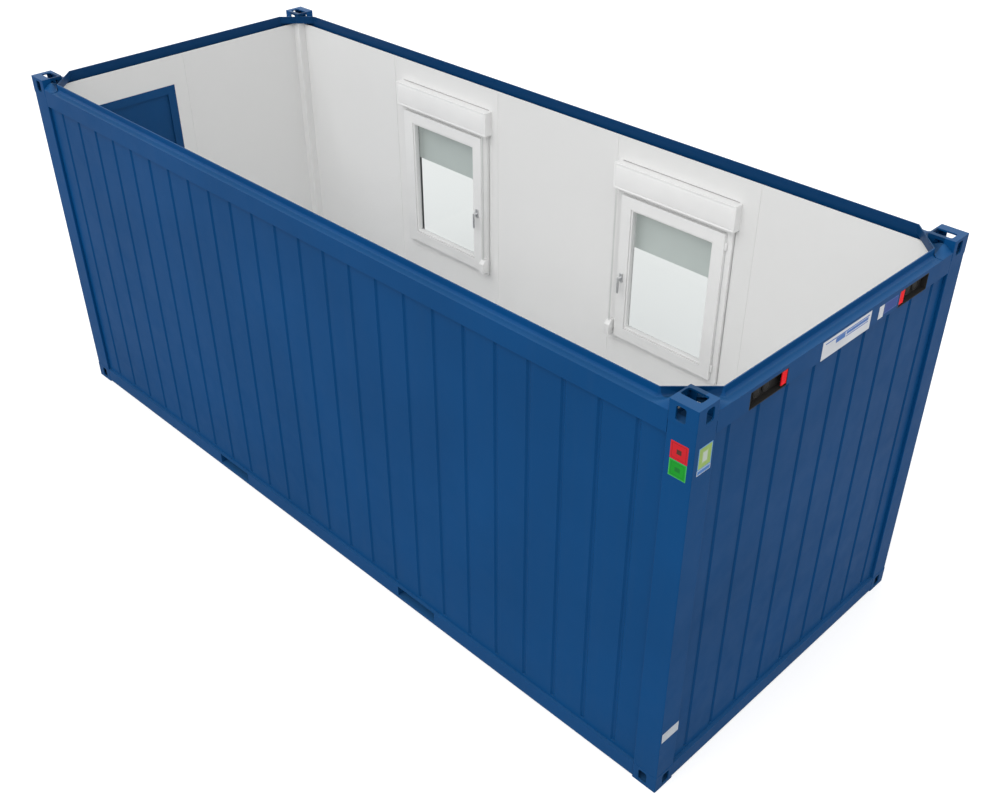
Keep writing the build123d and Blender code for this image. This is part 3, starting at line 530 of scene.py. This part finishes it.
def backlitFloor():  # a lit white sheet that shows dark to bounced rays, so it lights the model little
    finish = newFinish("paleFloor", studio["floorTone"], 0.9, specular=0.0)
    tree = finish.node_tree
    sheet = tree.nodes["Principled BSDF"]
    clouds = grain(finish, 2000, 2)
    tone = studio["floorTone"]
    setTone(finish, ramp(finish, clouds, [(0.3, scaled(tone, 0.99)), (0.7, scaled(tone, 1.01))]))
    sheet.inputs["Emission Color"].default_value = (1, 1, 1, 1)
    sheet.inputs["Emission Strength"].default_value = studio["floorGlow"]
    bounce = tree.nodes.new("ShaderNodeBsdfDiffuse")
    bounce.inputs["Color"].default_value = (*studio["bounceTone"], 1)
    rays = tree.nodes.new("ShaderNodeLightPath")
    bounced = maths(finish, "MAXIMUM", rays.outputs["Is Diffuse Ray"], rays.outputs["Is Glossy Ray"])
    mixShaders(finish, bounced, sheet.outputs["BSDF"], bounce.outputs["BSDF"])
    return finish


def setStudio():
    startFresh()
    bpy.ops.mesh.primitive_plane_add(size=2 * studio["floorHalf"], location=(0, 0, 0))
    floor = bpy.context.object
    floor.name = "studioFloor"
    floor.data.materials.append(backlitFloor())
    sky = bpy.data.worlds.new("evenSky")
    sky.use_nodes = True
    sky.node_tree.nodes["Background"].inputs["Color"].default_value = (1, 1, 1, 1)
    sky.node_tree.nodes["Background"].inputs["Strength"].default_value = studio["skyLight"]
    bpy.context.scene.world = sky
    bpy.ops.object.light_add(type="SUN", location=studio["lampPlace"],
                             rotation=(math.radians(studio["lampTilt"]), 0, 0))
    lamp = bpy.context.object
    lamp.name = "softLamp"
    lamp.data.energy = studio["lampPower"]
    lamp.data.angle = math.radians(studio["lampSpread"])
    bpy.ops.object.camera_add(location=studio["eye"])
    camera = bpy.context.object
    camera.name = "photoCamera"
    across = Vector((1, 1, 0)).normalized()  # the view looks along a body diagonal
    upwards = Vector((-1, 1, 2)).normalized()
    back = Vector((1, -1, 1)).normalized()
    turned = Matrix((across, upwards, back)).transposed().to_4x4()
    camera.matrix_world = Matrix.Translation(studio["eye"]) @ turned
    camera.data.lens = studio["lens"]
    camera.data.sensor_width = studio["sensor"]
    camera.data.shift_x, camera.data.shift_y = studio["shift"]
    camera.data.clip_end = studio["farthest"]
    bpy.context.scene.camera = camera
    bpy.context.scene.view_settings.view_transform = "Standard"


setStudio()
print("stage: studio")


def nodeBox(node):
    low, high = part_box(node)
    return [c / mm for c in low], [c / mm for c in high]


# Bare plates and labels, in millimetres on the face that carries each
postHigh = nodeBox("corner_posts")[1]
postFront = -postHigh[1]
endFace = postHigh[0]
filmThickness = 0.4
plates = {
    "postPlateRed": {"front": True, "place": (2894, 2994, 2281, 2380),
                     "layers": [("red", 0), ("darkRed", 9), ("red", 2.2), ("markDark", 25)]},
    "postPlateGreen": {"front": True, "place": (2894, 2994, 2184, 2279),
                       "layers": [("paleGreen", 0), ("green", 5), ("darkGreen", 8), ("green", 2.2),
                                  ("darkGreen", 20)]},
    "postLabelLime": {"front": False, "place": (-1180, -1078, 2247, 2372),
                      "layers": [("sky", 0), ("lime", 5), ("paleLime", 24), ("palePatch", 6)]},
    "postLabelSky": {"front": False, "place": (-1180, -1078, 2217, 2246),
                     "layers": [("paleGrey", 0), ("midBlue", 3.5), ("sky", 2.5), ("midBlue", 2.5)]},
    "postLabelLow": {"front": False, "place": (-1203, -1063, 405, 475),
                     "layers": [("white", 0), ("paleGrey", 3)]},
    "railSign": {"front": False, "place": (-217, 233, 2398, 2505),
                 "layers": [("paleGrey", 0), ("white", 3)]},
    "railLabelSlim": {"front": False, "place": (312, 362, 2414, 2490),
                      "layers": [("paleGrey", 0), ("white", 3)]},
    "railLabelBlue": {"front": False, "place": (366, 500, 2424, 2492),
                      "layers": [("deepBlue", 0), ("midBlue", 4), ("deepBlue", 2)]},
}
signBars = {"railSignLine": (-190, 215, 2482, 2488), "railSignBar": (-95, -10, 2452, 2480),
            "railSignBlock": (0, 205, 2462, 2478), "railSignFoot": (0, 205, 2450, 2455)}


def layFilm(name, front, place, layers, lift=0.0):
    low, high, z0, z1 = place
    if front:
        face = postFront - lift
        film = addBlock(name, (low, face - filmThickness, z0), (high, face, z1))
        outward = (0, -1, 0)
    else:
        face = endFace + lift
        film = addBlock(name, (face, low, z0), (face + filmThickness, high, z1))
        outward = (1, 0, 0)
    finishPiece(film, films[layers[0][0]])  # the first layer covers the whole film
    pickFaces(film, facing(outward))
    for tone, inset in layers[1:]:
        bpy.ops.mesh.inset(thickness=inset * mm)
        bpy.ops.object.material_slot_add()
        film.material_slots[-1].material = films[tone]
        bpy.ops.object.material_slot_assign()
    bpy.ops.object.mode_set(mode="OBJECT")


for name, plate in plates.items():
    layFilm(name, plate["front"], plate["place"], plate["layers"])
for name, place in signBars.items():
    layFilm(name, False, place, [("blueBand", 0), ("midBlue", 1.5)], filmThickness)
print("stage: plates and labels")


# Cove sheets: beside each casting the gutter rises from the flange and dips again towards the corner.
# A profile gives heights across the gutter: (share of its width, height in millimetres).
cove = {"near": 163.5, "crossNear": 153.5, "far": 266, "diagonal": 324, "columns": 7, "rows": 12,
        "sheet": 1.5, "lift": 0.4}
coveAtCasting = [(0.0, 2521.5), (0.09, 2535), (0.18, 2546), (0.28, 2556), (0.38, 2560), (0.5, 2554),
                 (0.68, 2540), (0.84, 2531), (1.0, 2528)]
coveAtRail = [(0.0, 2521.5), (0.3, 2521.6), (0.62, 2521.8), (0.74, 2525), (0.85, 2533), (0.94, 2546),
              (1.0, 2573.5)]


def alongProfile(profile, share):
    for (a, low), (b, high) in zip(profile, profile[1:]):
        if share <= b:
            return low + (high - low) * (share - a) / (b - a)
    return profile[-1][1]


def coveSheet(name, near, reachOut, reachSide, swapped):
    startFresh()
    bpy.ops.mesh.primitive_grid_add(x_subdivisions=cove["columns"], y_subdivisions=cove["rows"], size=2)
    sheet = bpy.context.object
    sheet.name = sheet.data.name = name
    spots = [corner.co.copy() for corner in sheet.data.vertices]
    for index, spot in enumerate(spots):
        share = (spot.x + 1) / 2
        across = (spot.y + 1) / 2
        out = near + (cove["far"] - near) * share
        blend = share * share * (3 - 2 * share)
        height = (alongProfile(coveAtCasting, across) * (1 - blend)
                  + alongProfile(coveAtRail, across) * blend + cove["lift"])
        inwards = across * (cove["diagonal"] - out)
        target = (reachOut - out, -(reachSide - inwards), height)
        if swapped:
            target = (reachSide - inwards, -(reachOut - out), height)
        pickCorner(sheet, index)
        bpy.ops.transform.translate(value=[t * mm - c for t, c in zip(target, spot)])
        bpy.ops.object.mode_set(mode="OBJECT")
    bpy.ops.object.modifier_add(type="SOLIDIFY")
    sheet.modifiers[-1].thickness = cove["sheet"] * mm
    sheet.modifiers[-1].offset = 0
    bpy.ops.object.modifier_apply(modifier=sheet.modifiers[-1].name)
    pickFaces(sheet, lambda face: True)
    bpy.ops.mesh.normals_make_consistent(inside=False)
    bpy.ops.object.mode_set(mode="OBJECT")
    bpy.ops.object.shade_smooth_by_angle(angle=math.radians(40))
    return sheet


sideCove = coveSheet("coveFrontRight", cove["near"], endFace, -postFront, False)
endCove = coveSheet("coveEndFront", cove["crossNear"], -postFront, endFace, True)
paintCorners(sideCove, ("coveFrontLeft", "coveBackRight", "coveBackLeft"))
paintCorners(endCove, ("coveFarEndFront", "coveEndBack", "coveFarEndBack"))
print("stage: gutter coves")


# Blanking plates close the hollow posts at each corner casting
blank = {"x": (2859, 3018), "y": (1065, 1208), "thick": 5, "heights": (("Top", 2474), ("Foot", 112))}
for level, z in blank["heights"]:
    plate = addBlock(f"blankFrontRight{level}", (blank["x"][0], -blank["y"][1], z),
                     (blank["x"][1], -blank["y"][0], z + blank["thick"]))
    stepFace(plate, facing((0, 0, 1)), [(10, 0), (2, -1)])
    softenEdges(plate, 0.8)
    paintCorners(plate, [f"blank{corner}{level}" for corner in ("FrontLeft", "BackRight", "BackLeft")])
print("stage: blanking plates")


# Inlets: a red flap at the inner end of each black recess, and two sockets on its floor
inlet = {"inner": 509.5, "middle": 662, "recessFloor": 16, "width": 44, "height": 80, "gap": 2,
         "thick": 6, "inset": 2, "drop": 6, "socketRadius": 32, "socketDepth": 10, "sockets": (-14, 64),
         "cheek": 14, "cheekFoot": 18, "cheekInset": 0.5}
inletLow, inletHigh = nodeBox("power_inlets")


def inletFlap(side):
    inner = side * inlet["inner"] + (inlet["cheek"] if side > 0 else 0)
    start = min(inner + side * inlet["gap"], inner + side * (inlet["gap"] + inlet["width"]))
    face = inletHigh[0] - inlet["inset"]
    bottom = inletHigh[2] - inlet["drop"] - inlet["height"]
    cover = addBlock(f"inletFlap{'Near' if side < 0 else 'Far'}",
                     (face - inlet["thick"], start, bottom),
                     (face, start + inlet["width"], bottom + inlet["height"]))
    stepFace(cover, facing((1, 0, 0)), [(5, 0), (1, -1.2), (14, 0), (1, 1.2)])
    softenEdges(cover, 1.2)
    finishPiece(cover, films["plateRed"])


def inletSocket(side, shift, name):  # round plug inlet with stepped rings
    centre = (inletLow[0] + inlet["recessFloor"] + inlet["socketDepth"] / 2,
              side * (inlet["middle"] + shift), (inletLow[2] + inletHigh[2]) / 2)
    socket = addRound(name, centre, inlet["socketRadius"], inlet["socketDepth"],
                      (0, math.radians(90), 0), 40)
    stepFace(socket, facing((1, 0, 0)), [(4, 0), (1, -3), (3, 0), (1, 2), (14, 1)])
    softenEdges(socket, 0.8)
    finishPiece(socket, finishes["inlet_black"])


def inletCheek():  # painted cheek that shortens the far recess
    cheek = addBlock("inletCheekFar", (inletLow[0] + inlet["cheekFoot"], inlet["inner"], inletLow[2]),
                     (inletHigh[0] - inlet["cheekInset"], inlet["inner"] + inlet["cheek"], inletHigh[2]))
    softenEdges(cheek, 0.8)
    finishPiece(cheek, finishes["frame_paint"])


inletCheek()
for side, label in ((-1, "Near"), (1, "Far")):
    inletFlap(side)
    for place, shift in zip(("Inner", "Outer"), inlet["sockets"]):
        inletSocket(side, shift, f"inletSocket{place}{label}")
print("stage: inlets")


# Windows: glazing beads, seals, handles, hinge caps, straps, winders and shutter boxes
window = {"centre": 1123, "sashFace": 85, "bead": 14, "beadStart": 7, "seal": 4, "sealProud": 2,
          "rebate": 4, "capRadius": 9, "capHeight": 52, "strap": 14, "strapThick": 1.6,
          "strapSetback": 26, "strapTuck": 12, "strapTop": 2, "winderHalf": 22.5, "lidRise": 30,
          "lidLean": 14, "hingeEnd": 90, "hingeReach": 4}
handle = {"inset": 15, "plateHalf": 14, "plateRise": (1462, 1530), "plate": 9, "neckHeight": 1497,
          "neckRadius": 8, "neck": 34, "neckSetback": 18, "leverHalf": 8.5, "leverRise": (1400, 1507),
          "lever": 12, "tip": 18}
sashLow, sashHigh = nodeBox("window_sashes")
paneLow = nodeBox("window_panes")[0]
frameLow = nodeBox("window_frames")[0]
boxLow, boxHigh = nodeBox("shutter_boxes")
winderLow, winderHigh = nodeBox("belt_winders")
sashHalf = sashHigh[0] - window["centre"]
winderMiddle = winderHigh[0] - window["winderHalf"]


def windowOpening(side, margin):
    half = sashHalf - window["sashFace"] - margin
    middle = side * window["centre"]
    across = (middle - half, middle + half)
    rise = (sashLow[2] + window["sashFace"] + margin, sashHigh[2] - window["sashFace"] - margin)
    return across, rise


def plasticPiece(piece, finish=finishes["window_plastic"]):
    return finishPiece(piece, finish)


def glazingBead(side, label):
    across, rise = windowOpening(side, 0)
    depth = paneLow[1] - sashLow[1] - window["beadStart"]
    bead = addRing("glazingBead" + label, across, rise, window["bead"], paneLow[1], depth)
    softenEdges(bead, 5, 3)
    plasticPiece(bead)


def paneSeal(side, label):
    across, rise = windowOpening(side, window["bead"])
    seal = addRing("paneSeal" + label, across, rise, window["seal"], paneLow[1], window["sealProud"])
    softenEdges(seal, 0.8)
    plasticPiece(seal, films["greySeal"])


def sashSeal(side, label):  # fills the joint between the sash and its frame
    middle = side * window["centre"]
    across = (middle - sashHalf - window["rebate"], middle + sashHalf + window["rebate"])
    rise = (sashLow[2] - window["rebate"], sashHigh[2] + window["rebate"])
    seal = addRing("sashSeal" + label, across, rise, window["rebate"], frameLow[1], 1.6)
    softenEdges(seal, 0.5)
    plasticPiece(seal, films["greySeal"])


def hingeCap(side, label, height, place):
    x = side * (window["centre"] + sashHalf + window["hingeReach"])
    face = frameLow[1] - window["capRadius"] + 1
    cap = addRound(f"hingeCap{label}{place}", (x, face, height), window["capRadius"],
                   window["capHeight"], (0, 0, 0))
    pickFaces(cap, lambda part: abs(part.normal.z) > 0.9)
    bpy.ops.mesh.inset(thickness=2.5 * mm, depth=2 * mm)
    bpy.ops.object.mode_set(mode="OBJECT")
    softenEdges(cap, 1)
    plasticPiece(cap)


def windowHandle(side, label):  # base plate, round neck and a hanging lever with soft edges
    low, high = nodeBox("window_handles")
    x = side * (high[0] - handle["inset"])
    half = handle["plateHalf"]
    plate = addBlock("windowHandle" + label,
                     (x - half, sashLow[1] - handle["plate"], handle["plateRise"][0]),
                     (x + half, sashLow[1], handle["plateRise"][1]))
    stepFace(plate, facing((0, -1, 0)), [(3, 2), (5, 0)])
    softenEdges(plate, 1.5)
    neck = addRound("windowHandleNeck", (x, low[1] + handle["neckSetback"], handle["neckHeight"]),
                    handle["neckRadius"], handle["neck"], (math.radians(90), 0, 0))
    half = handle["leverHalf"]
    lever = addBlock("windowHandleLever", (x - half, low[1], handle["leverRise"][0]),
                     (x + half, low[1] + handle["lever"], handle["leverRise"][1]))
    pickFaces(lever, facing((0, 0, -1)))
    bpy.ops.mesh.extrude_region_move(TRANSFORM_OT_translate={"value": (0, 0, -handle["tip"] * mm)})
    bpy.ops.transform.resize(value=(0.72, 0.8, 1))
    bpy.ops.object.mode_set(mode="OBJECT")
    softenEdges(lever, 3.5, 3)
    joined = joinAll([plate, neck, lever], "windowHandle" + label)
    return finishPiece(joined, finishes["handle_metal"])


def shutterStrap(side, label):
    x = side * winderMiddle
    y = winderLow[1] + window["strapSetback"]
    strap = addBlock("shutterStrap" + label,
                     (x - window["strap"] / 2, y, winderHigh[2] - window["strapTuck"]),
                     (x + window["strap"] / 2, y + window["strapThick"], boxLow[2] + window["strapTop"]))
    stepFace(strap, facing((0, -1, 0)), [(3, 0), (0.6, -0.3)])
    plasticPiece(strap, films["strap"])


def beltWinder(side, label):  # case with a slanted lid, a strap slot and a screw cover
    x = side * winderMiddle
    half = window["winderHalf"]
    case = addBlock("beltWinder" + label, (x - half, winderLow[1], winderLow[2]),
                    (x + half, winderHigh[1], winderHigh[2] - window["lidRise"]))
    pickFaces(case, facing((0, 0, 1)))
    bpy.ops.mesh.extrude_region_move(
        TRANSFORM_OT_translate={"value": (0, window["lidLean"] * mm, window["lidRise"] * mm)})
    bpy.ops.transform.resize(value=(0.86, 0.5, 1))
    bpy.ops.mesh.inset(thickness=5 * mm)
    bpy.ops.mesh.inset(thickness=1 * mm, depth=-3 * mm)
    bpy.ops.object.mode_set(mode="OBJECT")
    stepFace(case, facing((0, -1, 0)), [(7, 0), (1, -1), (4, 0), (1, 1)])
    softenEdges(case, 2)
    return plasticPiece(case)


def shutterBox(side, label):  # pressed lid with a step, end caps and a soft front edge
    middle = side * window["centre"]
    half = boxHigh[0] - window["centre"]
    box = addBlock("shutterBox" + label, (middle - half, boxLow[1], boxLow[2]),
                   (middle + half, boxHigh[1], boxHigh[2]))
    stepFace(box, facing((0, -1, 0)), [(9, 0), (1.5, -1.5), (9, 0), (1.5, 1.5)])
    for outward in ((1, 0, 0), (-1, 0, 0)):
        stepFace(box, facing(outward), [(8, 0), (1, -1)])
    stepFace(box, facing((0, 0, -1)), [(12, 0), (1, -1.5)])
    softenEdges(box, 3, 3)
    return plasticPiece(box)


for side, label in ((-1, "Left"), (1, "Right")):
    glazingBead(side, label)
    paneSeal(side, label)
    sashSeal(side, label)
    hingeCap(side, label, sashLow[2] + window["hingeEnd"], "Low")
    hingeCap(side, label, sashHigh[2] - window["hingeEnd"], "High")
    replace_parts(windowHandle(side, label), "window_handles")
    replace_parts(beltWinder(side, label), "belt_winders")
    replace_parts(shutterBox(side, label), "shutter_boxes")
    shutterStrap(side, label)
print("stage: window details")


# Door: folded edges and lock cylinders
door = {"fold": 1.2, "foldBand": 16, "cylinder": 8.5, "cylinderLength": 6, "cylinderRise": 45,
        "plateHalf": 18, "plate": 8}
leafLow, leafHigh = nodeBox("door_leaf")
handleLow, handleHigh = nodeBox("door_handle")


def doorFilling():  # pressed edge fold on both faces of the leaf
    for name, start in (("doorEdgeFoldOutside", leafLow[0] - door["fold"]),
                        ("doorEdgeFoldInside", leafHigh[0])):
        fold = addRing(name, (leafLow[1], leafHigh[1]), (leafLow[2], leafHigh[2]), door["foldBand"],
                       start, door["fold"], "Y")
        softenEdges(fold, 0.5)
        finishPiece(fold, finishes["door_paint"], "door")


def lockCylinder(name, face, outward):
    place = (face + outward * 2, handleHigh[1] - door["plateHalf"], handleLow[2] + door["cylinderRise"])
    stub = addRound(name, place, door["cylinder"], door["cylinderLength"], (0, math.radians(90), 0))
    stepFace(stub, facing((outward, 0, 0)), [(1.5, 0), (0.8, -0.8), (3, 0), (0.5, -1)])
    softenEdges(stub, 0.6)
    finishPiece(stub, films["zincScrew"], "door")


doorFilling()
lockCylinder("lockCylinderOutside", leafLow[0] - door["plate"], -1)
lockCylinder("lockCylinderInside", leafHigh[0] + door["plate"], 1)
print("stage: door details")


# Room: skirting along the linings
skirting = {"bottom": 160, "height": 58, "thick": 10, "along": 2856, "across": 1046, "doorSide": -130}


def skirtingBoard(name, low, high, outward):
    board = addBlock(name, (*low, skirting["bottom"]), (*high, skirting["bottom"] + skirting["height"]))
    stepFace(board, facing(outward), [(4, 0), (1, 1)])
    softenEdges(board, 1.5)
    finishPiece(board, films["skirting"])


wallX = nodeBox("floor_covering")[1][0]
wallY = nodeBox("lining_back")[0][1]
endX, endY, thick = skirting["along"], skirting["across"], skirting["thick"]
skirtingBoard("skirtingBack", (-endX, wallY - thick), (endX, wallY), (0, -1, 0))
skirtingBoard("skirtingFront", (-endX, -wallY), (endX, thick - wallY), (0, 1, 0))
skirtingBoard("skirtingRight", (wallX - thick, -endY), (wallX, endY), (-1, 0, 0))
skirtingBoard("skirtingLeft", (-wallX, skirting["doorSide"]), (thick - wallX, endY), (1, 0, 0))
print("stage: skirting")
